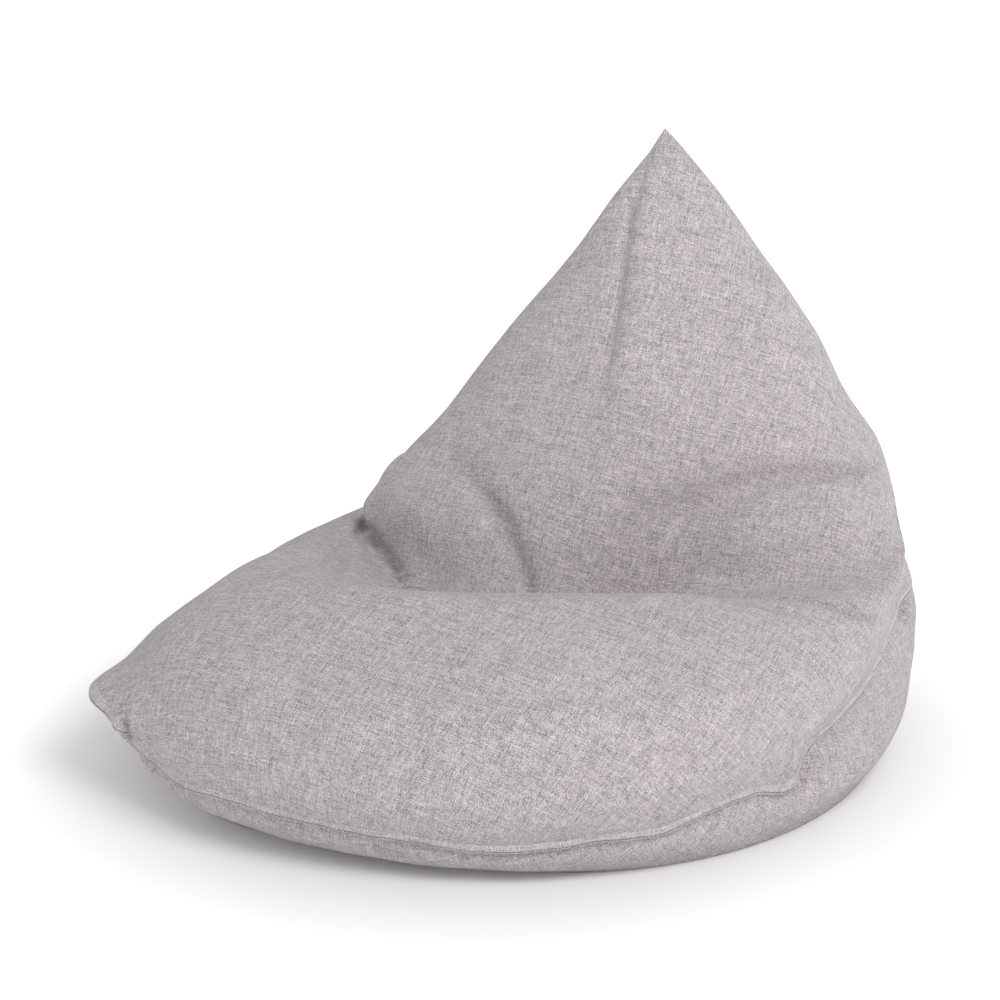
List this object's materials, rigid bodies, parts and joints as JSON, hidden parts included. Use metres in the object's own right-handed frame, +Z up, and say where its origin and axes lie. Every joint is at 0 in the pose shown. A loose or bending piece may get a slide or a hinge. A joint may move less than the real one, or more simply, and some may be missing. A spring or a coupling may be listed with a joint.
{
  "type": "bean bag chair",
  "caption": "Floppy pyramid lounger: sewn cover with a zip down the back, zipped liner and loose bead filling, with a bucket seat pressed into its front.",
  "frame": {"origin": "on the floor under the middle of the body, in the plane of the flat print that the bag rests on", "axes": "+Z up, -Y out of the seat towards a sitter's feet, +X to the left hand of someone sitting in it"},
  "size_m": [0.9302, 0.9229, 0.74],
  "materials": {
    "cover_fabric": "warm light grey linen-look plain weave with slubs",
    "cover_seam": "the same cloth folded into a felled seam",
    "thread": "matt polyester sewing thread",
    "zip_tape": "grey herringbone zip tape",
    "zip_coil": "grey nylon coil",
    "zip_metal": "satin nickel-coloured die casting",
    "liner_fabric": "plain white polyester",
    "liner_zip": "white zip tape",
    "liner_zip_coil": "white nylon coil",
    "eps_beads": "expanded polystyrene beads"
  },
  "bodies": {
    "root": {"upper_panel": "cover_fabric", "base_panel": "cover_fabric", "perimeter_seam": "cover_seam", "perimeter_topstitch": "thread", "rear_seam": "cover_seam", "rear_topstitch": "thread", "cover_zip_tape_left": "zip_tape", "cover_zip_tape_right": "zip_tape", "cover_zip_coil_left": "zip_coil", "cover_zip_coil_right": "zip_coil", "cover_zip_top_stop": "zip_metal", "cover_zip_bottom_stop": "zip_metal", "liner_upper": "liner_fabric", "liner_base": "liner_fabric", "liner_seam": "liner_fabric", "liner_rear_seam": "liner_fabric", "liner_zip_tape_left": "liner_zip", "liner_zip_tape_right": "liner_zip", "liner_zip_coil_left": "liner_zip_coil", "liner_zip_coil_right": "liner_zip_coil", "liner_zip_top_stop": "zip_metal", "liner_zip_bottom_stop": "zip_metal", "bead_fill": "eps_beads"},
    "cover_slider": {"cover_zip_slider": "zip_metal"},
    "cover_pull": {"cover_zip_pull": "zip_metal"},
    "liner_slider": {"liner_zip_slider": "zip_metal"}
  },
  "joints": [
    {"name": "cover_zip", "type": "slide", "parent": "root", "child": "cover_slider", "axis": [0.2297, -0.3215, 0.9186], "range_m": [0, 0.297]},
    {"name": "zip_pull", "type": "hinge", "parent": "cover_slider", "child": "cover_pull", "pos_m": [0.01024, 0.41378, 0.26206], "axis": [0.9733, 0.0759, -0.2168], "range_deg": [0, 170]},
    {"name": "liner_zip", "type": "slide", "parent": "root", "child": "liner_slider", "axis": [0.2297, -0.3215, 0.9186], "range_m": [0, 0.218]}
  ]
}
